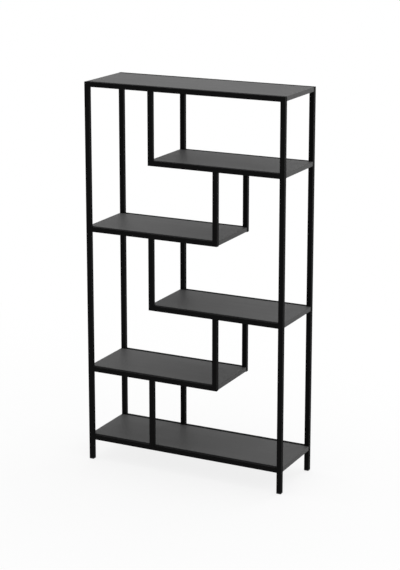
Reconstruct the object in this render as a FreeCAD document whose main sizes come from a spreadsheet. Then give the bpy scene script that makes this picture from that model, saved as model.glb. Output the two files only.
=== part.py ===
import FreeCAD, Part
import os
import Sketcher

# Zigzag bookshelf: a front and a rear frame of welded square tube, joined by six boards.
# Millimetres. Origin on the floor in the middle of the plan, +X right, +Y back, +Z up.

# Driving dimensions: alias, value, meaning
DIMENSIONS = [
    ("overall_width", 880, "across the outer faces of the left and right posts"),
    ("overall_depth", 300, "from the front face to the rear face of the frames"),
    ("shelf_pitch", 298.5, "height from one shelf to the next"),
    ("leg_clearance", 87.5, "floor to the underside of the bottom rails"),
    ("middle_bay_width", 267, "clear width between the two inner columns"),
    ("tube_size", 20, "outer side of the square tube"),
    ("tube_wall", 1.2, "wall of the square tube"),
    ("tube_bend_radius", 0.4, "inside corner radius of the square tube"),
    ("mitre_overcut", 1, "how far a mitre cut runs past the tube"),
    ("board_thickness", 18, "shelf board with its facing"),
    ("board_gap", 0.5, "gap between a board's long edge and the rail"),
    ("board_end_inset", 0.3, "board end behind the outer face of the post"),
    ("edging_thickness", 1, "glued edging strip"),
    ("tab_length", 30, "shelf tab along the rail"),
    ("tab_reach", 20, "shelf tab, how far it reaches under the board"),
    ("tab_thickness", 2, "shelf tab plate"),
    ("tab_corner_radius", 4, "rounded free corners of a shelf tab"),
    ("tab_end_distance", 75, "outer face of the end post to the first tab's middle"),
    ("screw_diameter", 3.9, "wood screw over its thread"),
    ("screw_length", 15, "wood screw under its head"),
    ("screw_tip_length", 4, "pointed end of the wood screw"),
    ("screw_head_diameter", 7.5, "pan head"),
    ("screw_head_height", 2.4, "pan head"),
    ("screw_head_round", 1.2, "rounded rim of the pan head"),
    ("recess_length", 4.2, "cross recess, tip to tip"),
    ("recess_width", 0.9, "cross recess, one slot"),
    ("recess_depth", 1.3, "cross recess"),
    ("screw_tab_clearance", 0.6, "screw hole in a tab, wider than the screw by"),
    ("screw_board_clearance", 0.1, "pilot hole in a board, wider than the screw by"),
    ("screw_tip_clearance", 1, "pilot hole in a board, deeper than the screw by"),
    ("foot_head_height", 5, "plastic plug below the post's end"),
    ("foot_head_chamfer", 0.8, "lower rim of the plug"),
    ("foot_stem_height", 16, "plug inside the post"),
    ("foot_rib_thickness", 1.6, "one rib of the plug"),
    ("foot_rib_start", 3, "post's end to the first rib"),
    ("foot_rib_pitch", 4.5, "one rib to the next"),
    ("foot_rib_depth", 1.5, "rib proud of the stem"),
    ("foot_clearance", 0.1, "rib to the tube's inner face"),
]
FULL_SHELF_TAB_COUNT = 3
SHORT_SHELF_TAB_COUNT = 2
FOOT_RIB_COUNT = 3

# Sizes that follow from the driving dimensions, as expressions
TUBE = "Sizes.tube_size"
TUBE_INSIDE = "(Sizes.tube_size - 2 * Sizes.tube_wall)"
TUBE_OUTER_RADIUS = "(Sizes.tube_bend_radius + Sizes.tube_wall)"
HALF_WIDTH = "(Sizes.overall_width / 2)"
POST_MIDDLE = "(Sizes.overall_width / 2 - Sizes.tube_size / 2)"
FRAME_MIDDLE = "(Sizes.overall_depth / 2 - Sizes.tube_size / 2)"
CLEAR_DEPTH = "(Sizes.overall_depth - 2 * Sizes.tube_size)"
COLUMN_OUTER = "(Sizes.middle_bay_width / 2 + Sizes.tube_size)"
COLUMN_MIDDLE = "(Sizes.middle_bay_width / 2 + Sizes.tube_size / 2)"
BOARD_DEPTH = f"({CLEAR_DEPTH} - 2 * Sizes.board_gap)"
CORE_DEPTH = f"({BOARD_DEPTH} - 2 * Sizes.edging_thickness)"
SCREW_ROW = f"({CLEAR_DEPTH} / 2 - Sizes.tab_reach / 2)"
# A board's top is level with the rail's, unless the rail is too low to hold board and tab
BOARD_SEAT = "max(Sizes.tube_size - Sizes.board_thickness; Sizes.tab_thickness)"

# A shelf ends at a corner post or at an inner column
POST = HALF_WIDTH
COLUMN = COLUMN_OUTER

# Shelves from the bottom up: name, left end, right end
SHELVES = [
    ("bottom", POST, POST),
    ("lower_left", POST, COLUMN),
    ("lower_right", COLUMN, POST),
    ("upper_left", POST, COLUMN),
    ("upper_right", COLUMN, POST),
    ("top", POST, POST),
]
TOP_LEVEL = len(SHELVES) - 1

# Which way from the middle of the plan, as the sign of an expression
LEFT, RIGHT = "-", "+"
FRONT, REAR = "-", "+"
OPPOSITE = {LEFT: RIGHT, RIGHT: LEFT}
FRAMES = [("front", FRONT), ("rear", REAR)]
SIDES = [("left", LEFT), ("right", RIGHT)]

ORIGIN_POINT = (-1, 1)
START_INDEX = 1
END_INDEX = 2
CENTRE_INDEX = 3
ALONG_WIDTH = FreeCAD.Rotation(FreeCAD.Vector(0, 1, 0), 90)
UPRIGHT = FreeCAD.Rotation()
NEAR = 1e-4

doc = FreeCAD.newDocument("zigzag_bookshelf")
sheet = doc.addObject("Spreadsheet::Sheet", "Sizes")
for row, (alias, number, meaning) in enumerate(DIMENSIONS, start=1):
    sheet.set(f"A{row}", meaning)
    sheet.set(f"B{row}", str(number))
    sheet.setAlias(f"B{row}", alias)
doc.recompute()
subparts = []


def value(expression):
    """Present value of an expression on the sheet."""
    return float(sheet.evalExpression(expression))


def rail_bottom(level):
    """Underside of the rails of a shelf."""
    return f"(Sizes.leg_clearance + {level} * Sizes.shelf_pitch)"


def board_underside(level):
    """Seat of a board on its tabs."""
    return f"({rail_bottom(level)} + {BOARD_SEAT})"


def tab_underside(level):
    """Lower face of the tabs, which the screw heads meet."""
    return f"({board_underside(level)} - Sizes.tab_thickness)"


def tabs_on(left, right):
    """Number of tabs along one rail."""
    return FULL_SHELF_TAB_COUNT if left == right else SHORT_SHELF_TAB_COUNT


def place(piece, x, y, z, rotation=UPRIGHT):
    """Put a piece at a point that follows the sheet."""
    piece.Placement = FreeCAD.Placement(FreeCAD.Vector(), rotation)
    piece.setExpression("Placement.Base.x", x)
    piece.setExpression("Placement.Base.y", y)
    piece.setExpression("Placement.Base.z", z)


def new_body(label, several=False):
    """Empty body for one sub-part, or for a group of like solids."""
    body = doc.addObject("PartDesign::Body", label)
    body.Label = label
    body.AllowCompound = several
    subparts.append(body)
    return body


def datum(body, role):
    """Origin plane or axis of a body."""
    return next(item for item in body.Origin.OriginFeatures if item.Role == role)


def new_sketch(body, name, role="XY_Plane"):
    """Sketch on one of the body's own origin planes."""
    sketch = body.newObject("Sketcher::SketchObject", name)
    sketch.AttachmentSupport = [(datum(body, role), "")]
    sketch.MapMode = "FlatFace"
    return sketch


def tie(sketch, kind, point, expression):
    """Hold a point of a sketch at a distance from the origin."""
    constraint = Sketcher.Constraint(kind, *ORIGIN_POINT, *point, value(expression))
    index = sketch.addConstraint(constraint)
    sketch.setExpression(f"Constraints[{index}]", expression)


def draw_outline(sketch, corners):
    """Closed outline of straight lines with every corner tied to the sheet."""
    points = [FreeCAD.Vector(value(x), value(y), 0) for x, y in corners]
    lines = []
    for start, end in zip(points, points[1:] + points[:1]):
        lines.append(sketch.addGeometry(Part.LineSegment(start, end), False))
    for line, following in zip(lines, lines[1:] + lines[:1]):
        joint = Sketcher.Constraint("Coincident", line, END_INDEX, following, START_INDEX)
        sketch.addConstraint(joint)
    for line, (x, y) in zip(lines, corners):
        tie(sketch, "DistanceX", (line, START_INDEX), x)
        tie(sketch, "DistanceY", (line, START_INDEX), y)


def draw_rectangle(sketch, width, height):
    """Rectangle centred on the sketch's origin."""
    right = f"{width} / 2"
    top = f"{height} / 2"
    left = f"-{width} / 2"
    bottom = f"-{height} / 2"
    draw_outline(sketch, [(left, bottom), (right, bottom), (right, top), (left, top)])


def draw_circle(sketch, x, y, diameter):
    """Circle with its centre and diameter tied to the sheet."""
    centre = FreeCAD.Vector(value(x), value(y), 0)
    circle = Part.Circle(centre, FreeCAD.Vector(0, 0, 1), value(diameter) / 2)
    index = sketch.addGeometry(circle, False)
    tie(sketch, "DistanceX", (index, CENTRE_INDEX), x)
    tie(sketch, "DistanceY", (index, CENTRE_INDEX), y)
    width = sketch.addConstraint(Sketcher.Constraint("Diameter", index, value(diameter)))
    sketch.setExpression(f"Constraints[{width}]", diameter)


def finish_feature(body, feature):
    """Make a new feature the body's last one and work it out."""
    body.Tip = feature
    doc.recompute()
    return feature


def pad(body, name, sketch, length):
    """Raise a sketch from its plane."""
    feature = body.newObject("PartDesign::Pad", name)
    feature.Profile = sketch
    feature.setExpression("Length", length)
    return finish_feature(body, feature)


def pocket(body, name, sketch, length=None, towards_normal=False):
    """Cut a sketch to a depth, or right through both ways when no depth is given."""
    solid_before = body.Shape.Volume
    feature = body.newObject("PartDesign::Pocket", name)
    feature.Profile = sketch
    if length is None:
        feature.Type = "ThroughAll"
        feature.SideType = "Symmetric"
    else:
        feature.setExpression("Length", length)
        feature.Reversed = towards_normal
    finish_feature(body, feature)
    if body.Shape.Volume > solid_before - NEAR:
        raise RuntimeError(f"{body.Label}: {name} cuts nothing")
    return feature


def dress(body, kind, name, base, edges, prop, size):
    """Fillet or chamfer chosen edges of a feature."""
    feature = body.newObject(f"PartDesign::{kind}", name)
    feature.Base = (base, edges)
    feature.setExpression(prop, size)
    return finish_feature(body, feature)


def edges_where(shape, wanted):
    """Names of the edges whose end points pass a test."""
    names = []
    for number, edge in enumerate(shape.Edges, start=1):
        points = [vertex.Point for vertex in edge.Vertexes]
        if wanted(points):
            names.append(f"Edge{number}")
    return names


def corner_edges(shape, side):
    """Long edges at the four corners of a square section."""
    half = value(side) / 2

    def at_corner(points):
        return all(
            abs(abs(point.x) - half) < NEAR and abs(abs(point.y) - half) < NEAR
            for point in points
        ) and (points[0] - points[-1]).cross(FreeCAD.Vector(0, 0, 1)).Length < NEAR

    return edges_where(shape, at_corner)


def cut_mitre(body, name, beyond, within, long_side):
    """Saw a tube's end at 45 degrees.

    The cut runs from beyond the tube's end to a height within the tube. long_side is the
    side along X that keeps its full length.
    """
    reach = "(Sizes.tube_size / 2 + Sizes.mitre_overcut)"
    short_x = f"{OPPOSITE[long_side]}{reach}"
    long_x = f"{long_side}{reach}"
    sketch = new_sketch(body, f"{name}_sketch", "XZ_Plane")
    draw_outline(sketch, [(short_x, within), (short_x, beyond), (long_x, beyond)])
    pocket(body, name, sketch)


def make_tube(label, length, mitres=()):
    """Square tube along its own Z axis, with mitred ends where they are asked for.

    mitres holds (end, long_side) pairs, end being "near" for Z = 0 or "far" for Z = length.
    """
    body = new_body(label)
    section = new_sketch(body, "section")
    draw_rectangle(section, TUBE, TUBE)
    draw_rectangle(section, TUBE_INSIDE, TUBE_INSIDE)
    tube = pad(body, "tube", section, length)
    outer = corner_edges(tube.Shape, TUBE)
    rounded = dress(body, "Fillet", "outer_corners", tube, outer, "Radius", TUBE_OUTER_RADIUS)
    inner = corner_edges(rounded.Shape, TUBE_INSIDE)
    dress(body, "Fillet", "inner_corners", rounded, inner, "Radius", "Sizes.tube_bend_radius")
    past = "Sizes.mitre_overcut"
    depth = "(Sizes.tube_size + Sizes.mitre_overcut)"
    for end, long_side in mitres:
        if end == "near":
            cut_mitre(body, "near_mitre", f"-{past}", depth, long_side)
        else:
            cut_mitre(body, "far_mitre", f"{length} + {past}", f"{length} - {depth}", long_side)
    return body


def make_posts():
    """Four corner posts, mitred into the top rails."""
    length = f"({rail_bottom(TOP_LEVEL)} + Sizes.tube_size - Sizes.foot_head_height)"
    for frame, frame_way in FRAMES:
        for side, side_way in SIDES:
            post = make_tube(f"{frame}_{side}_post", length, [("far", side_way)])
            x = f"{side_way}{POST_MIDDLE}"
            place(post, x, f"{frame_way}{FRAME_MIDDLE}", "Sizes.foot_head_height")


def make_rails():
    """Rails of every shelf. A rail's own +X side looks down once it lies along the width."""
    down, up = RIGHT, LEFT
    for level, (name, left, right) in enumerate(SHELVES):
        mitres = []
        start, finish = left, right
        if level == TOP_LEVEL:
            mitres = [("near", up), ("far", up)]
        else:
            if left == POST:
                start = f"({left} - Sizes.tube_size)"
            else:
                mitres.append(("near", down))
            if right == POST:
                finish = f"({right} - Sizes.tube_size)"
            else:
                mitres.append(("far", down))
        for frame, frame_way in FRAMES:
            rail = make_tube(f"{frame}_{name}_rail", f"({start} + {finish})", mitres)
            z = f"{rail_bottom(level)} + Sizes.tube_size / 2"
            place(rail, f"-{start}", f"{frame_way}{FRAME_MIDDLE}", z, ALONG_WIDTH)


def make_struts():
    """Inner struts, by turns in the left and the right column, from the top down."""
    for number in range(1, TOP_LEVEL + 1):
        upper = TOP_LEVEL + 1 - number
        lower = upper - 1
        side = LEFT if number % 2 else RIGHT
        mitres = [("near", side)]
        foot = rail_bottom(lower)
        if lower == 0:
            mitres = []
            foot = f"({rail_bottom(lower)} + Sizes.tube_size)"
        for frame, frame_way in FRAMES:
            length = f"({rail_bottom(upper)} - {foot})"
            strut = make_tube(f"{frame}_strut_{number}", length, mitres)
            place(strut, f"{side}{COLUMN_MIDDLE}", f"{frame_way}{FRAME_MIDDLE}", foot)


def first_tab_x(left, right):
    """Middle of the first tab, counted from the middle of the shelf."""
    return f"-(({left} + {right}) / 2 - Sizes.tab_end_distance)"


def tab_span(left, right):
    """First tab's middle to the last tab's middle."""
    return f"({left} + {right} - 2 * Sizes.tab_end_distance)"


def spread(body, name, originals, left, right):
    """Repeat features at every tab of the front rail and of the rear rail."""
    feature = body.newObject("PartDesign::LinearPattern", name)
    feature.Originals = originals
    feature.Direction = (datum(body, "X_Axis"), [""])
    feature.Occurrences = tabs_on(left, right)
    feature.setExpression("Length", tab_span(left, right))
    feature.Direction2 = (datum(body, "Y_Axis"), [""])
    feature.Occurrences2 = len(FRAMES)
    feature.setExpression("Length2", f"2 * {SCREW_ROW}")
    return finish_feature(body, feature)


def make_board(level, name, left, right):
    """Shelf board with blind pilot holes for its screws."""
    body = new_body(f"{name}_board")
    length = f"({left} + {right} - 2 * (Sizes.board_end_inset + Sizes.edging_thickness))"
    face = new_sketch(body, "face")
    draw_rectangle(face, length, CORE_DEPTH)
    pad(body, "board", face, "Sizes.board_thickness")
    hole = new_sketch(body, "pilot_hole_sketch")
    diameter = "(Sizes.screw_diameter + Sizes.screw_board_clearance)"
    draw_circle(hole, first_tab_x(left, right), f"-{SCREW_ROW}", diameter)
    depth = "(Sizes.screw_length + Sizes.screw_tip_clearance - Sizes.tab_thickness)"
    pilot = pocket(body, "pilot_hole", hole, depth, towards_normal=True)
    spread(body, "pilot_holes", [pilot], left, right)
    place(body, f"({right} - {left}) / 2", "0", board_underside(level))


def make_edging(level, name, left, right):
    """Four glued strips round a board: two long ones and two between their ends."""
    long_length = f"({left} + {right} - 2 * Sizes.board_end_inset)"
    left_end = f"(Sizes.board_end_inset - {left})"
    right_end = f"({right} - Sizes.board_end_inset - Sizes.edging_thickness)"
    band = "Sizes.edging_thickness"
    strips = [
        ("front", long_length, band, left_end, f"-{BOARD_DEPTH} / 2"),
        ("rear", long_length, band, left_end, f"{BOARD_DEPTH} / 2 - Sizes.edging_thickness"),
        ("left", band, CORE_DEPTH, left_end, f"-{CORE_DEPTH} / 2"),
        ("right", band, CORE_DEPTH, right_end, f"-{CORE_DEPTH} / 2"),
    ]
    boxes = []
    for side, along_width, along_depth, x, y in strips:
        strip = doc.addObject("Part::Box", f"{name}_{side}_strip")
        strip.setExpression("Length", along_width)
        strip.setExpression("Width", along_depth)
        strip.setExpression("Height", "Sizes.board_thickness")
        place(strip, x, y, board_underside(level))
        boxes.append(strip)
    edging = doc.addObject("Part::Compound", f"{name}_board_edging")
    edging.Label = f"{name}_board_edging"
    edging.Links = boxes
    subparts.append(edging)


def make_tabs(level, name, left, right):
    """Plates on the rails' inner faces that carry a board, each with one screw hole."""
    body = new_body(f"{name}_board_tabs", several=True)
    middle = first_tab_x(left, right)
    rail_face = f"-{CLEAR_DEPTH} / 2"
    free_edge = f"Sizes.tab_reach - {CLEAR_DEPTH} / 2"
    start = f"{middle} - Sizes.tab_length / 2"
    end = f"{middle} + Sizes.tab_length / 2"
    plate = new_sketch(body, "plate")
    corners = [(start, rail_face), (end, rail_face), (end, free_edge), (start, free_edge)]
    draw_outline(plate, corners)
    tab = pad(body, "tab", plate, "Sizes.tab_thickness")
    free_y = value(free_edge)

    def at_free_corner(points):
        upright = abs(points[0].z - points[-1].z) > NEAR
        return upright and all(abs(point.y - free_y) < NEAR for point in points)

    edges = edges_where(tab.Shape, at_free_corner)
    dress(body, "Fillet", "free_corners", tab, edges, "Radius", "Sizes.tab_corner_radius")
    hole = new_sketch(body, "screw_hole_sketch")
    diameter = "(Sizes.screw_diameter + Sizes.screw_tab_clearance)"
    draw_circle(hole, middle, f"-{SCREW_ROW}", diameter)
    pocket(body, "screw_hole", hole)
    row = body.newObject("PartDesign::LinearPattern", "tab_row")
    row.TransformMode = "Whole shape"
    row.Direction = (datum(body, "X_Axis"), [""])
    row.Occurrences = tabs_on(left, right)
    row.setExpression("Length", tab_span(left, right))
    finish_feature(body, row)
    both = body.newObject("PartDesign::Mirrored", "rear_row")
    both.TransformMode = "Whole shape"
    both.MirrorPlane = (datum(body, "XZ_Plane"), [""])
    finish_feature(body, both)
    place(body, f"({right} - {left}) / 2", "0", tab_underside(level))


def make_screws(level, name, left, right):
    """Pan-head wood screws, heads under the tabs and points in the board."""
    body = new_body(f"{name}_board_screws", several=True)
    middle = first_tab_x(left, right)
    row = f"-{SCREW_ROW}"
    head = new_sketch(body, "head_sketch")
    head.setExpression("AttachmentOffset.Base.z", "-Sizes.screw_head_height")
    draw_circle(head, middle, row, "Sizes.screw_head_diameter")
    head_pad = pad(body, "head", head, "Sizes.screw_head_height")

    def on_lower_rim(points):
        return all(abs(point.z + value("Sizes.screw_head_height")) < NEAR for point in points)

    rim = edges_where(head_pad.Shape, on_lower_rim)
    dress(body, "Fillet", "head_rim", head_pad, rim, "Radius", "Sizes.screw_head_round")
    shank = new_sketch(body, "shank_sketch")
    draw_circle(shank, middle, row, "Sizes.screw_diameter")
    shank_length = "(Sizes.screw_length - Sizes.screw_tip_length)"
    pad(body, "shank", shank, shank_length)
    tip = body.newObject("PartDesign::AdditiveCone", "tip")
    tip.setExpression("Radius1", "Sizes.screw_diameter / 2")
    tip.Radius2 = 0
    tip.setExpression("Height", "Sizes.screw_tip_length")
    tip.AttachmentSupport = [(datum(body, "XY_Plane"), "")]
    tip.MapMode = "FlatFace"
    tip.setExpression("AttachmentOffset.Base.x", middle)
    tip.setExpression("AttachmentOffset.Base.y", row)
    tip.setExpression("AttachmentOffset.Base.z", shank_length)
    finish_feature(body, tip)
    for slot, width, height in (
        ("slot_across", "Sizes.recess_length", "Sizes.recess_width"),
        ("slot_along", "Sizes.recess_width", "Sizes.recess_length"),
    ):
        sketch = new_sketch(body, f"{slot}_sketch")
        sketch.setExpression("AttachmentOffset.Base.x", middle)
        sketch.setExpression("AttachmentOffset.Base.y", row)
        sketch.setExpression("AttachmentOffset.Base.z", "-Sizes.screw_head_height")
        draw_rectangle(sketch, width, height)
        pocket(body, slot, sketch, "Sizes.recess_depth", towards_normal=True)
    rows = body.newObject("PartDesign::LinearPattern", "all_screws")
    rows.TransformMode = "Whole shape"
    rows.Direction = (datum(body, "X_Axis"), [""])
    rows.Occurrences = tabs_on(left, right)
    rows.setExpression("Length", tab_span(left, right))
    rows.Direction2 = (datum(body, "Y_Axis"), [""])
    rows.Occurrences2 = len(FRAMES)
    rows.setExpression("Length2", f"2 * {SCREW_ROW}")
    finish_feature(body, rows)
    place(body, f"({right} - {left}) / 2", "0", tab_underside(level))


def make_foot(label, x, y):
    """Plastic plug: a head under the post's end and a ribbed stem inside it."""
    body = new_body(label)
    head = new_sketch(body, "head_sketch")
    draw_rectangle(head, TUBE, TUBE)
    head_pad = pad(body, "head", head, "Sizes.foot_head_height")
    corners = corner_edges(head_pad.Shape, TUBE)
    rounded = dress(body, "Fillet", "corners", head_pad, corners, "Radius", TUBE_OUTER_RADIUS)
    rim = edges_where(rounded.Shape, lambda points: all(abs(point.z) < NEAR for point in points))
    dress(body, "Chamfer", "lower_rim", rounded, rim, "Size", "Sizes.foot_head_chamfer")
    stem_side = f"({TUBE_INSIDE} - 2 * (Sizes.foot_clearance + Sizes.foot_rib_depth))"
    stem = new_sketch(body, "stem_sketch")
    draw_rectangle(stem, stem_side, stem_side)
    pad(body, "stem", stem, "(Sizes.foot_head_height + Sizes.foot_stem_height)")
    rib = new_sketch(body, "rib_sketch")
    rib.setExpression("AttachmentOffset.Base.z", "Sizes.foot_head_height + Sizes.foot_rib_start")
    face = f"({TUBE_INSIDE} / 2 - Sizes.foot_clearance)"
    bevel = f"({face} - Sizes.tube_bend_radius)"
    draw_outline(rib, [
        (f"-{bevel}", f"-{face}"), (bevel, f"-{face}"), (face, f"-{bevel}"), (face, bevel),
        (bevel, face), (f"-{bevel}", face), (f"-{face}", bevel), (f"-{face}", f"-{bevel}"),
    ])
    rib_pad = pad(body, "rib", rib, "Sizes.foot_rib_thickness")
    ribs = body.newObject("PartDesign::LinearPattern", "ribs")
    ribs.Originals = [rib_pad]
    ribs.Direction = (datum(body, "Z_Axis"), [""])
    ribs.Occurrences = FOOT_RIB_COUNT
    ribs.setExpression("Length", f"{FOOT_RIB_COUNT - 1} * Sizes.foot_rib_pitch")
    finish_feature(body, ribs)
    place(body, x, y, "0")


def make_feet():
    """One plug under each post."""
    for frame, frame_way in FRAMES:
        for side, side_way in SIDES:
            make_foot(f"{frame}_{side}_foot", f"{side_way}{POST_MIDDLE}", f"{frame_way}{FRAME_MIDDLE}")


def check_model():
    """Stop if any object failed or any sub-part has no sound solid."""
    doc.recompute()
    for item in doc.Objects:
        if "Invalid" in item.State or "Error" in item.State:
            raise RuntimeError(f"{item.Label} failed: {item.State}")
    for piece in subparts:
        shape = piece.Shape
        if shape.isNull() or not shape.isValid() or not shape.Solids:
            raise RuntimeError(f"{piece.Label} has no valid solid")


def write_parts():
    """Write each sub-part to its own file."""
    os.makedirs("parts", exist_ok=True)
    for piece in subparts:
        piece.Shape.exportStep(f"parts/{piece.Label}.step")
        print(piece.Label, len(piece.Shape.Solids), round(piece.Shape.Volume, 2))


make_posts()
make_rails()
make_struts()
for level, (name, left, right) in enumerate(SHELVES):
    make_board(level, name, left, right)
    make_edging(level, name, left, right)
    make_tabs(level, name, left, right)
    make_screws(level, name, left, right)
make_feet()
check_model()
write_parts()
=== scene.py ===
import math

import bmesh
import bpy
from bpy.props import FloatProperty, FloatVectorProperty, PointerProperty
from mathutils import Euler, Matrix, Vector


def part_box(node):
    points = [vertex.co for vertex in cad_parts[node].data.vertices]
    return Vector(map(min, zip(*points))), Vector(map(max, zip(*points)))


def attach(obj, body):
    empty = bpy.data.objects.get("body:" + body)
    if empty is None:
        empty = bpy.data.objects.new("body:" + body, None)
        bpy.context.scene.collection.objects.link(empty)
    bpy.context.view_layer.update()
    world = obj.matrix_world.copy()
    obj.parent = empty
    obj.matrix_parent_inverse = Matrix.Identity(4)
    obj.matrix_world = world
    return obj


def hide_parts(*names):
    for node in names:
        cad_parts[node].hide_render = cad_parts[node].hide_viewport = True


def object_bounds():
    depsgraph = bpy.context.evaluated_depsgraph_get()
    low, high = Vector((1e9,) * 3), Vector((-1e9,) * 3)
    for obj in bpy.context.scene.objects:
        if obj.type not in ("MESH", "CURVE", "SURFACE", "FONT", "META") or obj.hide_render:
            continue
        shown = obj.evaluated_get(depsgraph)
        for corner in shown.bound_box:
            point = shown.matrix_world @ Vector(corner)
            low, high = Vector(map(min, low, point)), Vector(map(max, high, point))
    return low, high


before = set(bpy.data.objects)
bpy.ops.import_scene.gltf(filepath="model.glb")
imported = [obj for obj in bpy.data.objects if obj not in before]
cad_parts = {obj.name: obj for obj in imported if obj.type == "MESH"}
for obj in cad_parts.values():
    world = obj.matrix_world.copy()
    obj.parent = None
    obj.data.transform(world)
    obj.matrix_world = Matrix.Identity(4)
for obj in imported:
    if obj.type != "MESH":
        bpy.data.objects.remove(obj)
CAD_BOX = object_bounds()

# Zigzag bookshelf: finishes of its tubes, boards and fittings, its welds, its edging and its stage.
# Metres, in the packed model's own frame: floor at z = 0, +X right, +Y back.

bl_info = {
    "name": "Zigzag Bookshelf",
    "version": (1, 0, 0),
    "blender": (4, 5, 0),
    "location": "3D View > Sidebar > Bookshelf",
    "description": "Finishes, welds, edging and stage of a zigzag bookshelf",
    "category": "Object",
}

AXIS_X = Vector((1, 0, 0))
AXIS_Y = Vector((0, 1, 0))
AXIS_Z = Vector((0, 0, 1))

# Places closer together than this are one place
NEAR = 1e-5

# Nodes of the packed model, all on one body
BODY = "root"
FRAMES = ("front", "rear")
SIDES = ("left", "right")
SHELVES = ("top", "upper_right", "upper_left", "lower_right", "lower_left", "bottom")
STRUT_COUNT = 5
BOX = {name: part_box(name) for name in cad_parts}
POSTS = {side: [f"{side}_{end}_post" for end in SIDES] for side in FRAMES}
STRUTS = {side: [f"{side}_strut_{number + 1}" for number in range(STRUT_COUNT)] for side in FRAMES}
RAILS = {side: [f"{side}_{shelf}_rail" for shelf in SHELVES] for side in FRAMES}
FEET = [f"{side}_{end}_foot" for side in FRAMES for end in SIDES]
POST_LOW, POST_HIGH = BOX["front_left_post"]
TUBE = POST_HIGH.x - POST_LOW.x

# Shelf tabs on one rail stand further apart than this
TAB_GAP = 0.04

# Finishes: the name of the coat, which the welds share, and the middle of a noise, which runs from 0 to 1
COAT = "matt_black_powder_coat"
MIDDLE = 0.5
WHITE = (1, 1, 1, 1)

# Mesh of a weld bead: steps round its section, steps in a ripple, fewest steps along it
BEAD_ARC_STEPS = 6
BEAD_RIPPLE_STEPS = 6
BEAD_LEAST_STEPS = 8
BEAD_SMOOTH = math.radians(50)

# Fillets: a fullness of 1 would be a quarter round and 2 a flat face. The root sinks a little into the steel
FILLET_FULLNESS = 1.8
FILLET_SINK = 0.0002

# Groove welds: crown of a seam that is ground flush, toes past the groove as a share of its width, and
# how deep the toes' edges lie
GROUND_CROWN = 0.00004
GROOVE_TOE = 0.25
GROOVE_LIP = 0.00005

# Size of a bead at its two ends, as a share of its full size
BEAD_END = 0.2

# Ripples: height as a share of the bead, and how far a ripple's middle runs ahead of its edges, in radians
FILLET_RIPPLE = 0.022
GROOVE_RIPPLE = 0.044
RIPPLE_SWEEP = 1.4

# Slow wander of a fillet's size: share, length, and where it starts, in radians a metre across and up
WANDER = 0.05
WANDER_LENGTH = 0.0093
WANDER_START = Vector((40, 0, 25))

# Mesh of an edging strip
EDGING_ROUND_STEPS = 4
EDGING_SMOOTH = math.radians(40)

# Floor: it lies a hair under the feet, so that no two faces share a plane
FLOOR_DROP = 0.0004
FLOOR_CORNERS = 96

# Camera: width of its sensor in millimetres, and how far it sees
SENSOR = 36.0
VIEW_END = 100


class FrameFinish(bpy.types.PropertyGroup):
    """Powder coat and welds of the tube frames."""

    coat_colour: FloatVectorProperty(
        name="Coat Colour",
        description="Black of the powder coat",
        default=(0.0037, 0.0037, 0.0037),
        min=0,
        max=1,
        subtype="COLOR",
    )
    coat_roughness: FloatProperty(
        name="Coat Roughness",
        description="How matt the powder coat is",
        default=0.72,
        min=0,
        max=1,
        subtype="FACTOR",
    )
    coat_gloss: FloatProperty(
        name="Coat Gloss",
        description="Strength of the coat's reflection",
        default=0.04,
        min=0,
        max=1,
        subtype="FACTOR",
    )
    coat_grain: FloatProperty(
        name="Coat Grain",
        description="Size of one grain in the coat's texture",
        default=0.0007,
        min=0.0001,
        subtype="DISTANCE",
        unit="LENGTH",
    )
    tube_round: FloatProperty(
        name="Tube Corner Radius",
        description="Outer corner radius of the square tube",
        default=0.0016,
        min=0.0001,
        subtype="DISTANCE",
        unit="LENGTH",
    )
    bead_leg: FloatProperty(
        name="Bead Leg",
        description="Leg of a fillet bead in an inside corner of the frame",
        default=0.0026,
        min=0.0005,
        subtype="DISTANCE",
        unit="LENGTH",
    )
    ripple_pitch: FloatProperty(
        name="Ripple Pitch",
        description="One ripple of a weld bead to the next",
        default=0.0014,
        min=0.0003,
        subtype="DISTANCE",
        unit="LENGTH",
    )
    tab_crown: FloatProperty(
        name="Tab Weld Crown",
        description="How far the weld of a shelf tab bulges out of its groove",
        default=0.0006,
        min=0,
        subtype="DISTANCE",
        unit="LENGTH",
    )


class BoardFinish(bpy.types.PropertyGroup):
    """Facing and edging of the shelf boards."""

    board_colour: FloatVectorProperty(
        name="Board Colour",
        description="Dark grey of the boards' facing",
        default=(0.085, 0.085, 0.085),
        min=0,
        max=1,
        subtype="COLOR",
    )
    board_roughness: FloatProperty(
        name="Board Roughness",
        description="How matt the facing is",
        default=0.5,
        min=0,
        max=1,
        subtype="FACTOR",
    )
    board_gloss: FloatProperty(
        name="Board Gloss",
        description="Strength of the facing's reflection",
        default=0.08,
        min=0,
        max=1,
        subtype="FACTOR",
    )
    facing_grain: FloatProperty(
        name="Facing Grain",
        description="Size of one dimple in the facing's emboss",
        default=0.0008,
        min=0.0001,
        subtype="DISTANCE",
        unit="LENGTH",
    )
    edging_colour: FloatVectorProperty(
        name="Edging Colour",
        description="Dark grey of the edging strips",
        default=(0.08, 0.08, 0.08),
        min=0,
        max=1,
        subtype="COLOR",
    )
    edging_roughness: FloatProperty(
        name="Edging Roughness",
        description="How matt the edging is",
        default=0.6,
        min=0,
        max=1,
        subtype="FACTOR",
    )
    edging_gloss: FloatProperty(
        name="Edging Gloss",
        description="Strength of the edging's reflection",
        default=0.04,
        min=0,
        max=1,
        subtype="FACTOR",
    )
    edging_round: FloatProperty(
        name="Edging Radius",
        description="Rounded outer edges of an edging strip",
        default=0.0007,
        min=0.0001,
        subtype="DISTANCE",
        unit="LENGTH",
    )
    glue_chamfer: FloatProperty(
        name="Glue Line Chamfer",
        description="Small chamfer of a strip where it meets the board",
        default=0.00012,
        min=0.00001,
        subtype="DISTANCE",
        unit="LENGTH",
    )


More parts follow.
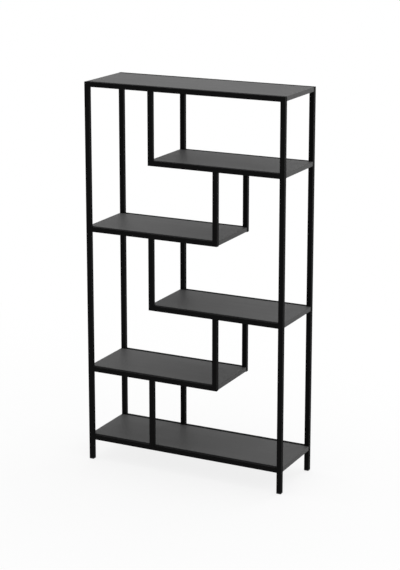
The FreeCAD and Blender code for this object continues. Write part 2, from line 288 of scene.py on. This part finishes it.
class FittingFinish(bpy.types.PropertyGroup):
    """Plastic feet and screws."""

    foot_colour: FloatVectorProperty(
        name="Foot Colour",
        description="Black of the moulded plugs",
        default=(0.011, 0.011, 0.011),
        min=0,
        max=1,
        subtype="COLOR",
    )
    foot_roughness: FloatProperty(
        name="Foot Roughness",
        description="How matt the plugs are",
        default=0.52,
        min=0,
        max=1,
        subtype="FACTOR",
    )
    foot_gloss: FloatProperty(
        name="Foot Gloss",
        description="Strength of the plugs' reflection",
        default=0.3,
        min=0,
        max=1,
        subtype="FACTOR",
    )
    screw_colour: FloatVectorProperty(
        name="Screw Colour",
        description="Black passivated steel of the screws",
        default=(0.09, 0.09, 0.095),
        min=0,
        max=1,
        subtype="COLOR",
    )
    screw_roughness: FloatProperty(
        name="Screw Roughness",
        description="How matt the screws are",
        default=0.4,
        min=0,
        max=1,
        subtype="FACTOR",
    )


class StageSetting(bpy.types.PropertyGroup):
    """Floor, light and camera."""

    floor_colour: FloatVectorProperty(
        name="Floor Colour",
        description="Pale studio floor",
        default=(0.95, 0.95, 0.95),
        min=0,
        max=1,
        subtype="COLOR",
    )
    floor_radius: FloatProperty(
        name="Floor Radius",
        description="Radius of the round studio floor",
        default=9.0,
        min=1,
        subtype="DISTANCE",
        unit="LENGTH",
    )
    shadow_share: FloatProperty(
        name="Shadow Share",
        description="How much of the floor's own shading shows beside the object",
        default=0.18,
        min=0,
        max=1,
        subtype="FACTOR",
    )
    fade_start: FloatProperty(
        name="Fade Start",
        description="How far out the floor's shading starts to fade to white",
        default=0.8,
        min=0,
        subtype="DISTANCE",
        unit="LENGTH",
    )
    fade_end: FloatProperty(
        name="Fade End",
        description="How far out the floor is plain white",
        default=2.6,
        min=0,
        subtype="DISTANCE",
        unit="LENGTH",
    )
    room_light: FloatProperty(
        name="Room Light",
        description="Even light from all round",
        default=0.8,
        min=0,
        subtype="FACTOR",
    )
    top_power: FloatProperty(
        name="Top Light",
        description="Power of the wide light overhead",
        default=70.0,
        min=0,
        subtype="POWER",
        unit="POWER",
    )
    top_place: FloatVectorProperty(
        name="Top Light Place",
        description="Where the wide light overhead hangs",
        default=(0.2, 0.6, 6.0),
        subtype="TRANSLATION",
        unit="LENGTH",
    )
    top_width: FloatProperty(
        name="Top Light Width",
        description="Width and length of the square light overhead",
        default=5.0,
        min=0.1,
        subtype="DISTANCE",
        unit="LENGTH",
    )
    side_power: FloatProperty(
        name="Side Light",
        description="Power of the tall light behind on the right",
        default=64.0,
        min=0,
        subtype="POWER",
        unit="POWER",
    )
    side_place: FloatVectorProperty(
        name="Side Light Place",
        description="Where the tall light behind on the right stands",
        default=(2.3, 4.4, 1.4),
        subtype="TRANSLATION",
        unit="LENGTH",
    )
    side_width: FloatProperty(
        name="Side Light Width",
        description="Width of the tall light",
        default=1.8,
        min=0.1,
        subtype="DISTANCE",
        unit="LENGTH",
    )
    side_height: FloatProperty(
        name="Side Light Height",
        description="Height of the tall light",
        default=2.8,
        min=0.1,
        subtype="DISTANCE",
        unit="LENGTH",
    )
    camera_place: FloatVectorProperty(
        name="Camera Place",
        description="Where the camera stands",
        default=(2.9909, -5.9484, 2.6085),
        subtype="TRANSLATION",
        unit="LENGTH",
    )
    camera_turn: FloatProperty(
        name="Camera Turn",
        description="Camera turned to its left, from looking straight back",
        default=0.46613,
        subtype="ANGLE",
        unit="ROTATION",
    )
    camera_dip: FloatProperty(
        name="Camera Dip",
        description="Camera tipped down from the level",
        default=0.21877,
        subtype="ANGLE",
        unit="ROTATION",
    )
    lens: FloatProperty(
        name="Lens",
        description="Focal length in millimetres",
        default=106.885,
        min=10,
        subtype="DISTANCE_CAMERA",
        unit="CAMERA",
    )
    shift_across: FloatProperty(
        name="Shift Across",
        description="Sideways shift of the lens, as a share of the picture's long side",
        default=0.00252,
        min=-1,
        max=1,
        subtype="FACTOR",
    )
    shift_up: FloatProperty(
        name="Shift Up",
        description="Upward shift of the lens, as a share of the picture's long side",
        default=-0.14912,
        min=-1,
        max=1,
        subtype="FACTOR",
    )


class Signal:
    """One value in a shader. Arithmetic on it lays Math nodes."""

    def __init__(self, recipe, socket):
        self.recipe = recipe
        self.socket = socket

    def __add__(self, other):
        return self.recipe.math("ADD", self, other)

    def __radd__(self, other):
        return self.recipe.math("ADD", other, self)

    def __sub__(self, other):
        return self.recipe.math("SUBTRACT", self, other)

    def __rsub__(self, other):
        return self.recipe.math("SUBTRACT", other, self)

    def __mul__(self, other):
        return self.recipe.math("MULTIPLY", self, other)

    def __rmul__(self, other):
        return self.recipe.math("MULTIPLY", other, self)

    def swing(self, reach):
        """How far a noise is from its middle, times the reach that it may swing a value over."""
        return (self - MIDDLE) * reach


class Recipe:
    """Lays the nodes of one material or of the world."""

    def __init__(self, owner):
        owner.use_nodes = True
        self.tree = owner.node_tree
        self.tree.nodes.clear()

    def add(self, kind, settings=None, sockets=None, output=0):
        """Lay a node: its settings first, then the values or links of its sockets."""
        node = self.tree.nodes.new(f"ShaderNode{kind}")
        for name, setting in (settings or {}).items():
            setattr(node, name, setting)
        for name, value in (sockets or {}).items():
            socket = node.inputs[name]
            if isinstance(value, Signal):
                self.tree.links.new(value.socket, socket)
            else:
                socket.default_value = value
        return Signal(self, node.outputs[output]) if node.outputs else None

    def math(self, operation, first, second):
        return self.add("Math", {"operation": operation}, {0: first, 1: second})

    def mottle(self, colour, shade, dark, light):
        """A colour that goes from a darker to a lighter share of itself as a shade goes from 0 to 1."""
        tones = {"A": rgba(colour, dark), "B": rgba(colour, light)}
        return self.add("Mix", {"data_type": "RGBA"}, {"Factor": shade, **tones}, "Result")

    def stretch(self, point, x, y, z):
        """Scale a point's coordinates, each by its own factor."""
        return self.add("VectorMath", {"operation": "MULTIPLY"}, {0: point, 1: (x, y, z)})

    def noise(self, point, detail, scale=1):
        return self.add("TexNoise", sockets={"Vector": point, "Scale": scale, "Detail": detail})

    def bump(self, height, depth, strength):
        return self.add("Bump", sockets={"Height": height, "Distance": depth, "Strength": strength})

    def surface(self, kind, sockets):
        """Lay the shader that a material ends in."""
        self.add("OutputMaterial", sockets={"Surface": self.add(kind, sockets=sockets)})


def rgba(colour, factor):
    """A colour as four numbers, made darker or lighter by a factor."""
    return (*(part * factor for part in colour), 1.0)


def new_finish(name):
    """A new material, the recipe for its nodes, and the shaded point in its object's own coordinates."""
    material = bpy.data.materials.new(name)
    recipe = Recipe(material)
    return material, recipe, recipe.add("TexCoord", output="Object")


def powder_coat(finish):
    """Fine-textured matt black powder coat on steel tube."""
    material, recipe, point = new_finish(COAT)
    grain = recipe.noise(point, detail=2, scale=1 / finish.coat_grain)
    cloud = recipe.noise(point, detail=3, scale=11)
    shade = MIDDLE + cloud.swing(0.7) + grain.swing(1.1)
    recipe.surface("BsdfPrincipled", {
        "Base Color": recipe.mottle(finish.coat_colour, shade, dark=0.72, light=1.28),
        "Roughness": finish.coat_roughness + cloud.swing(0.16) + grain.swing(0.2),
        "Specular IOR Level": finish.coat_gloss,
        "Normal": recipe.bump(grain, depth=0.00006, strength=0.4),
    })
    return material


def board_facing(finish):
    """Dark grey facing with a fine emboss and a faintly uneven print."""
    material, recipe, point = new_finish("dark_grey_facing")
    emboss = recipe.noise(point, detail=2, scale=1 / finish.facing_grain)
    cloud = recipe.noise(point, detail=4, scale=6)
    wipe = recipe.noise(recipe.stretch(point, x=2.5, y=38, z=38), detail=3)
    shade = MIDDLE + cloud.swing(0.9) + emboss.swing(0.9)
    recipe.surface("BsdfPrincipled", {
        "Base Color": recipe.mottle(finish.board_colour, shade, dark=0.9, light=1.1),
        "Roughness": finish.board_roughness + wipe.swing(0.1) + emboss.swing(0.12),
        "Specular IOR Level": finish.board_gloss,
        "Normal": recipe.bump(emboss, depth=0.00004, strength=0.25),
    })
    return material


def edging_strip(finish):
    """Dark grey edging, with fine lines along the strip from its extrusion."""
    material, recipe, point = new_finish("dark_grey_edging")
    lines = recipe.noise(recipe.stretch(point, x=6, y=6, z=2200), detail=2)
    cloud = recipe.noise(point, detail=3, scale=8)
    shade = MIDDLE + cloud.swing(0.8) + lines.swing(0.8)
    recipe.surface("BsdfPrincipled", {
        "Base Color": recipe.mottle(finish.edging_colour, shade, dark=0.88, light=1.12),
        "Roughness": finish.edging_roughness + lines.swing(0.18),
        "Specular IOR Level": finish.edging_gloss,
        "Normal": recipe.bump(lines, depth=0.00003, strength=0.25),
    })
    return material


def moulded_plastic(finish):
    """Black plastic with the fine spark-eroded texture of its mould."""
    material, recipe, point = new_finish("black_moulded_plastic")
    spark = recipe.noise(point, detail=2, scale=2600)
    flow = recipe.noise(recipe.stretch(point, x=90, y=90, z=25), detail=3)
    shade = MIDDLE + flow.swing(0.9) + spark.swing(0.9)
    recipe.surface("BsdfPrincipled", {
        "Base Color": recipe.mottle(finish.foot_colour, shade, dark=0.8, light=1.25),
        "Roughness": finish.foot_roughness + flow.swing(0.14) + spark.swing(0.16),
        "Specular IOR Level": finish.foot_gloss,
        "Normal": recipe.bump(spark, depth=0.00004, strength=0.3),
    })
    return material


def black_screw_steel(finish):
    """Black passivated steel, slightly blotched."""
    material, recipe, point = new_finish("black_passivated_steel")
    blotch = recipe.noise(point, detail=3, scale=420)
    fine = recipe.noise(point, detail=2, scale=3800)
    shade = MIDDLE + blotch.swing(1.2) + fine.swing(0.6)
    recipe.surface("BsdfPrincipled", {
        "Base Color": recipe.mottle(finish.screw_colour, shade, dark=0.75, light=1.3),
        "Roughness": finish.screw_roughness + blotch.swing(0.25) + fine.swing(0.1),
        "Metallic": 1,
        "Normal": recipe.bump(fine, depth=0.00002, strength=0.3),
    })
    return material


def finish_nodes(names, material):
    """Give packed nodes a finish."""
    for name in names:
        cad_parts[name].material_slots[0].material = material


def find_finish(name):
    """A finish that an earlier step has made."""
    if name not in bpy.data.materials:
        raise RuntimeError(f"the finish {name} isn't made yet: run its own step first")
    return bpy.data.materials[name]


def put(name, data):
    """Put a mesh, a light or a camera into the scene."""
    thing = bpy.data.objects.new(name, data)
    bpy.context.scene.collection.objects.link(thing)
    return thing


def put_mesh(name, draft, material):
    """Put a drafted mesh into the scene, in one finish."""
    mesh = bpy.data.meshes.new(name)
    draft.to_mesh(mesh)
    draft.free()
    if not mesh.polygons:
        raise RuntimeError(f"{name} came out empty")
    mesh.materials.append(material)
    return put(name, mesh)


def new_piece(name, draft, material, smooth_angle):
    """Turn a drafted mesh into a piece of the object that rides on its body."""
    bmesh.ops.recalc_face_normals(draft, faces=draft.faces)
    piece = put_mesh(name, draft, material)
    piece.data.shade_smooth()
    piece.data.set_sharp_from_angle(angle=smooth_angle)
    weighted = piece.modifiers.new("even_shading", "WEIGHTED_NORMAL")
    weighted.keep_sharp = True
    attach(piece, BODY)
    return piece


def skin(draft, rings):
    """Closed skin through rings of points, with a face over each end."""
    rows = [[draft.verts.new(point) for point in ring] for ring in rings]
    count = len(rows[0])
    for row, following in zip(rows, rows[1:]):
        for index in range(count):
            after = (index + 1) % count
            draft.faces.new((row[index], row[after], following[after], following[index]))
    draft.faces.new(rows[0])
    draft.faces.new(rows[-1])


def bead_stations(length, pitch, end_round):
    """Places along a bead, each with the bead's size there: full, and drawn in at its two ends."""
    steps = max(BEAD_LEAST_STEPS, round(length / pitch * BEAD_RIPPLE_STEPS))
    for step in range(steps + 1):
        place = (step / steps - 0.5) * length
        inward = min(1.0, (length / 2 - abs(place)) / end_round)
        yield place, max(BEAD_END, math.sqrt(1 - (1 - inward) ** 2))


def ripple(place, pitch, lead):
    """Swell of the ripples at a place along a bead, from -1 to 1. The lead is 1 at the bead's middle."""
    return math.cos(math.tau * place / pitch + RIPPLE_SWEEP * lead)


def lay_fillet(draft, corner, out_a, out_b, along, length, finish):
    """Rippled fillet bead in an inside corner, with a leg on each of the two faces."""
    leg = finish.bead_leg + FILLET_SINK
    rings = []
    for place, size in bead_stations(length, finish.ripple_pitch, leg):
        root = corner + along * place - (out_a + out_b) * FILLET_SINK
        wander = WANDER * math.sin(math.tau * place / WANDER_LENGTH + corner.dot(WANDER_START))
        ring = [root]
        for step in range(BEAD_ARC_STEPS + 1):
            angle = step / BEAD_ARC_STEPS * math.pi / 2
            swell = FILLET_RIPPLE * ripple(place, finish.ripple_pitch, math.sin(2 * angle))
            reach = leg * size * (1 + swell + wander)
            part_a = reach * math.cos(angle) ** FILLET_FULLNESS
            part_b = reach * math.sin(angle) ** FILLET_FULLNESS
            ring.append(root + out_a * part_a + out_b * part_b)
        rings.append(ring)
    skin(draft, rings)


def lay_groove(draft, edge, out, across, along, length, crown, finish):
    """Weld that fills the groove between a tube's rounded corner and what butts against it.

    Edge is where the corner would be if it were sharp, out is the way that the two level faces look, and
    across points from the butted piece to the tube with the rounded corner.
    """
    width = finish.tube_round
    toe = width * GROOVE_TOE
    rings = []
    for place, size in bead_stations(length, finish.ripple_pitch, width):
        middle = edge + along * place
        ring = [middle - out * width]
        for step in range(BEAD_ARC_STEPS + 1):
            share = step / BEAD_ARC_STEPS
            angle = share * math.pi
            swell = GROOVE_RIPPLE * ripple(place, finish.ripple_pitch, math.sin(angle))
            rise = crown * size * (1 + swell) * math.sin(angle)
            lip = GROOVE_LIP * math.cos(angle) ** 2
            ring.append(middle + across * ((width + 2 * toe) * share - toe) + out * (rise - lip))
        rings.append(ring)
    skin(draft, rings)


def flat_width(finish):
    """Width of a tube's flat face, between its rounded corners."""
    return TUBE - 2 * finish.tube_round


def reaches(low, high, place, way):
    """Whether a stretch holds a place and goes on from it the given way."""
    return low - NEAR <= place <= high + NEAR and low < place + way * TUBE / 2 < high


def lay_corner_fillets(draft, upright, rail, finish):
    """Fillets in the inside corners between an upright and a rail, given as their boxes."""
    up_low, up_high = upright
    rail_low, rail_high = rail
    middle_y = (rail_low.y + rail_high.y) / 2
    for x, way_x in ((up_low.x, -1), (up_high.x, 1)):
        for z, way_z in ((rail_low.z, -1), (rail_high.z, 1)):
            on_rail = reaches(rail_low.x, rail_high.x, x, way_x)
            on_upright = reaches(up_low.z, up_high.z, z, way_z)
            if on_rail and on_upright:
                corner = Vector((x, middle_y, z))
                lay_fillet(draft, corner, AXIS_X * way_x, AXIS_Z * way_z, AXIS_Y, flat_width(finish), finish)


def lay_ground_seams(draft, upright, rail, finish):
    """Seams ground flush on the front and back faces, where one tube's end butts against the other tube."""
    up_low, up_high = upright
    rail_low, rail_high = rail
    middle_x = (up_low.x + up_high.x) / 2
    middle_z = (rail_low.z + rail_high.z) / 2
    within_rail = rail_low.x < up_low.x and up_high.x < rail_high.x
    for y, way_y in ((rail_low.y, -1), (rail_high.y, 1)):
        seams = []
        for x, rail_end, way in ((up_high.x, rail_low.x, -1), (up_low.x, rail_high.x, 1)):
            if abs(x - rail_end) < NEAR:
                seams.append((Vector((x, y, middle_z)), AXIS_X * way, AXIS_Z))
        for z, up_end, way in ((rail_low.z, up_high.z, 1), (rail_high.z, up_low.z, -1)):
            if abs(z - up_end) < NEAR and within_rail:
                seams.append((Vector((middle_x, y, z)), AXIS_Z * way, AXIS_X))
        for edge, across, along in seams:
            lay_groove(draft, edge, AXIS_Y * way_y, across, along, flat_width(finish), GROUND_CROWN, finish)


def lay_frame_welds(draft, side, finish):
    """Welds of one frame, wherever an upright meets a rail."""
    for upright in POSTS[side] + STRUTS[side]:
        for rail in RAILS[side]:
            lay_corner_fillets(draft, BOX[upright], BOX[rail], finish)
            lay_ground_seams(draft, BOX[upright], BOX[rail], finish)


def tab_stretches(node):
    """Where each tab of a shelf starts and ends along the rail."""
    across = sorted(vertex.co.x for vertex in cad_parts[node].data.vertices)
    breaks = [index for index in range(1, len(across)) if across[index] - across[index - 1] > TAB_GAP]
    starts = [0, *breaks]
    ends = [*breaks, len(across)]
    return [(across[start], across[end - 1]) for start, end in zip(starts, ends)]


def lay_tab_welds(draft, shelf, finish):
    """Weld of each tab in the groove under the rail's rounded inner corner."""
    node = f"{shelf}_board_tabs"
    low, high = BOX[node]
    for start, end in tab_stretches(node):
        for y, way_y in ((low.y, -1), (high.y, 1)):
            edge = Vector(((start + end) / 2, y, low.z))
            length = end - start - 2 * finish.bead_leg
            lay_groove(draft, edge, -AXIS_Z, AXIS_Y * way_y, AXIS_X, length, finish.tab_crown, finish)


def ease(draft, edges, width, steps):
    """Ease edges: a chamfer in one step, a rounding in several."""
    bmesh.ops.bevel(draft, geom=edges, offset=width, offset_type="OFFSET", segments=steps,
                    profile=0.5, affect="EDGES")


def lay_edging(draft, low, high, out, open_ends, finish):
    """One edging strip: rounded along its outer edges, with a small chamfer at the glue line."""
    made = bmesh.ops.create_cube(draft, size=1)
    middle = (low + high) / 2
    size = high - low
    for vertex in made["verts"]:
        vertex.co = middle + Vector(part * length for part, length in zip(vertex.co, size))
    outer, glued = [], []
    for edge in {edge for vertex in made["verts"] for edge in vertex.link_edges}:
        first, second = (vertex.co for vertex in edge.verts)
        level = abs(first.z - second.z) < NEAR
        sides = [(point - middle).dot(out) for point in (first, second)]
        if min(sides) > NEAR and (open_ends or level):
            outer.append(edge)
        elif max(sides) < -NEAR and level:
            glued.append(edge)
    ease(draft, outer, finish.edging_round, EDGING_ROUND_STEPS)
    ease(draft, glued, finish.glue_chamfer, 1)


def make_edging(shelf, material, finish):
    """The four strips round one board: two along it, and two between them with closed ends."""
    core_low, core_high = BOX[f"{shelf}_board"]
    low, high = BOX[f"{shelf}_board_edging"]
    strips = (
        (-AXIS_Y, Vector((low.x, low.y, low.z)), Vector((high.x, core_low.y, high.z)), True),
        (AXIS_Y, Vector((low.x, core_high.y, low.z)), Vector((high.x, high.y, high.z)), True),
        (-AXIS_X, Vector((low.x, core_low.y, low.z)), Vector((core_low.x, core_high.y, high.z)), False),
        (AXIS_X, Vector((core_high.x, core_low.y, low.z)), Vector((high.x, core_high.y, high.z)), False),
    )
    draft = bmesh.new()
    for out, strip_low, strip_high, open_ends in strips:
        lay_edging(draft, strip_low, strip_high, out, open_ends, finish)
    piece = new_piece(f"{shelf}_edging_strips", draft, material, EDGING_SMOOTH)
    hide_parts(f"{shelf}_board_edging")


class SHELF_OT_coat_frame(bpy.types.Operator):
    """Powder coat the posts, rails, struts and shelf tabs"""

    bl_idname = "shelf.coat_frame"
    bl_label = "Coat Frame"

    def execute(self, context):
        coat = powder_coat(context.scene.shelf_frame)
        for side in FRAMES:
            finish_nodes(POSTS[side] + RAILS[side] + STRUTS[side], coat)
        finish_nodes([f"{shelf}_board_tabs" for shelf in SHELVES], coat)
        return {"FINISHED"}


class SHELF_OT_weld_frame(bpy.types.Operator):
    """Lay the weld beads of the front and rear frames and of the shelf tabs"""

    bl_idname = "shelf.weld_frame"
    bl_label = "Weld Frame"

    def execute(self, context):
        finish = context.scene.shelf_frame
        coat = find_finish(COAT)
        for side in FRAMES:
            draft = bmesh.new()
            lay_frame_welds(draft, side, finish)
            new_piece(f"{side}_frame_welds", draft, coat, BEAD_SMOOTH)
        for shelf in SHELVES:
            draft = bmesh.new()
            lay_tab_welds(draft, shelf, finish)
            new_piece(f"{shelf}_tab_welds", draft, coat, BEAD_SMOOTH)
        return {"FINISHED"}


class SHELF_OT_face_boards(bpy.types.Operator):
    """Face the six shelf boards"""

    bl_idname = "shelf.face_boards"
    bl_label = "Face Boards"

    def execute(self, context):
        facing = board_facing(context.scene.shelf_board)
        finish_nodes([f"{shelf}_board" for shelf in SHELVES], facing)
        return {"FINISHED"}


class SHELF_OT_edge_boards(bpy.types.Operator):
    """Put rounded edging strips round the six shelf boards"""

    bl_idname = "shelf.edge_boards"
    bl_label = "Edge Boards"

    def execute(self, context):
        finish = context.scene.shelf_board
        strip = edging_strip(finish)
        for shelf in SHELVES:
            make_edging(shelf, strip, finish)
        return {"FINISHED"}


class SHELF_OT_finish_screws(bpy.types.Operator):
    """Finish the screws that hold the boards"""

    bl_idname = "shelf.finish_screws"
    bl_label = "Finish Screws"

    def execute(self, context):
        steel = black_screw_steel(context.scene.shelf_fitting)
        finish_nodes([f"{shelf}_board_screws" for shelf in SHELVES], steel)
        return {"FINISHED"}


class SHELF_OT_finish_feet(bpy.types.Operator):
    """Finish the four plastic feet"""

    bl_idname = "shelf.finish_feet"
    bl_label = "Finish Feet"

    def execute(self, context):
        plastic = moulded_plastic(context.scene.shelf_fitting)
        finish_nodes(FEET, plastic)
        return {"FINISHED"}


def seen_directly(recipe):
    """1 for what the camera, gloss or glass looks at, 0 for light that only falls on things."""
    kinds = ("Camera", "Glossy", "Transmission")
    camera, gloss, glass = (recipe.add("LightPath", output=f"Is {kind} Ray") for kind in kinds)
    return recipe.math("MAXIMUM", recipe.math("MAXIMUM", camera, gloss), glass)


def pale_floor(setting):
    """Pale floor that keeps the object's shadow, fades to white and is clear from below."""
    material, recipe, point = new_finish("pale_studio_floor")
    away = recipe.add("VectorMath", {"operation": "LENGTH"}, {0: point}, "Value")
    fade = recipe.add("MapRange", {"interpolation_type": "SMOOTHSTEP"}, {
        "Value": away,
        "From Min": setting.fade_start,
        "From Max": setting.fade_end,
        "To Min": 1 - setting.shadow_share,
        "To Max": 1,
    })
    speck = recipe.noise(point, detail=3, scale=40)
    tone = recipe.mottle(setting.floor_colour, speck, dark=0.99, light=1.01)
    shaded = recipe.add("BsdfDiffuse", sockets={"Color": tone})
    white = recipe.add("Emission", sockets={"Color": WHITE, "Strength": 1})
    topside = recipe.add("MixShader", sockets={0: fade * seen_directly(recipe), 1: shaded, 2: white})
    underside = recipe.add("BsdfTransparent")
    from_below = recipe.add("NewGeometry", output="Backfacing")
    recipe.surface("MixShader", {0: from_below, 1: topside, 2: underside})
    return material


def make_floor(setting):
    """Round studio floor."""
    draft = bmesh.new()
    bmesh.ops.create_circle(draft, cap_ends=True, segments=FLOOR_CORNERS, radius=setting.floor_radius)
    floor = put_mesh("studio_floor", draft, pale_floor(setting))
    floor.location.z = -FLOOR_DROP


def make_room(setting):
    """Even room light, with a white background."""
    world = bpy.data.worlds.new("studio_room")
    bpy.context.scene.world = world
    recipe = Recipe(world)
    light = recipe.add("Background", sockets={"Color": WHITE, "Strength": setting.room_light})
    white = recipe.add("Background", sockets={"Color": WHITE, "Strength": 1})
    shader = recipe.add("MixShader", sockets={0: seen_directly(recipe), 1: light, 2: white})
    recipe.add("OutputWorld", sockets={"Surface": shader})


def make_softbox(name, place, width, height, power):
    """Wide soft light that looks at the middle of the object."""
    data = bpy.data.lights.new(name, "AREA")
    data.shape = "RECTANGLE"
    data.size = width
    data.size_y = height
    data.energy = power
    aim = (CAD_BOX[0] + CAD_BOX[1]) / 2
    light = put(name, data)
    light.location = place
    light.rotation_euler = (aim - Vector(place)).to_track_quat("-Z", "Y").to_euler()


def make_camera(setting):
    """Camera at the photograph's viewing angle."""
    data = bpy.data.cameras.new("studio_camera")
    data.sensor_fit = "AUTO"
    data.sensor_width = SENSOR
    data.lens = setting.lens
    data.shift_x = setting.shift_across
    data.shift_y = setting.shift_up
    data.clip_end = VIEW_END
    camera = put("studio_camera", data)
    camera.location = setting.camera_place
    camera.rotation_euler = Euler((math.pi / 2 - setting.camera_dip, 0, setting.camera_turn), "XYZ")
    bpy.context.scene.camera = camera


class SHELF_OT_set_stage(bpy.types.Operator):
    """Set up the floor, the room, the lights and the camera"""

    bl_idname = "shelf.set_stage"
    bl_label = "Set Stage"

    def execute(self, context):
        setting = context.scene.shelf_stage
        context.scene.view_settings.view_transform = "Standard"
        make_floor(setting)
        make_room(setting)
        make_softbox("top_softbox", setting.top_place, setting.top_width, setting.top_width,
                     setting.top_power)
        make_softbox("side_softbox", setting.side_place, setting.side_width, setting.side_height,
                     setting.side_power)
        make_camera(setting)
        return {"FINISHED"}


class SHELF_PT_bookshelf(bpy.types.Panel):
    """Steps and settings of the bookshelf"""

    bl_idname = "SHELF_PT_bookshelf"
    bl_label = "Zigzag Bookshelf"
    bl_space_type = "VIEW_3D"
    bl_region_type = "UI"
    bl_category = "Bookshelf"

    def draw(self, context):
        for step in STEPS:
            self.layout.operator(step.bl_idname)
        for name, group in SETTINGS.items():
            box = self.layout.box()
            box.label(text=group.__doc__)
            for prop in group.__annotations__:
                box.prop(getattr(context.scene, name), prop)


STEPS = (
    SHELF_OT_coat_frame,
    SHELF_OT_weld_frame,
    SHELF_OT_face_boards,
    SHELF_OT_edge_boards,
    SHELF_OT_finish_screws,
    SHELF_OT_finish_feet,
    SHELF_OT_set_stage,
)
SETTINGS = {
    "shelf_frame": FrameFinish,
    "shelf_board": BoardFinish,
    "shelf_fitting": FittingFinish,
    "shelf_stage": StageSetting,
}


def register():
    for name, group in SETTINGS.items():
        bpy.utils.register_class(group)
        setattr(bpy.types.Scene, name, PointerProperty(type=group))
    for step in STEPS:
        bpy.utils.register_class(step)
    bpy.utils.register_class(SHELF_PT_bookshelf)


def unregister():
    bpy.utils.unregister_class(SHELF_PT_bookshelf)
    for step in reversed(STEPS):
        bpy.utils.unregister_class(step)
    for name, group in reversed(SETTINGS.items()):
        delattr(bpy.types.Scene, name)
        bpy.utils.unregister_class(group)


def main():
    register()
    bpy.ops.shelf.coat_frame()
    bpy.ops.shelf.weld_frame()
    bpy.ops.shelf.face_boards()
    bpy.ops.shelf.edge_boards()
    bpy.ops.shelf.finish_screws()
    bpy.ops.shelf.finish_feet()
    bpy.ops.shelf.set_stage()


if __name__ == "__main__":
    main()
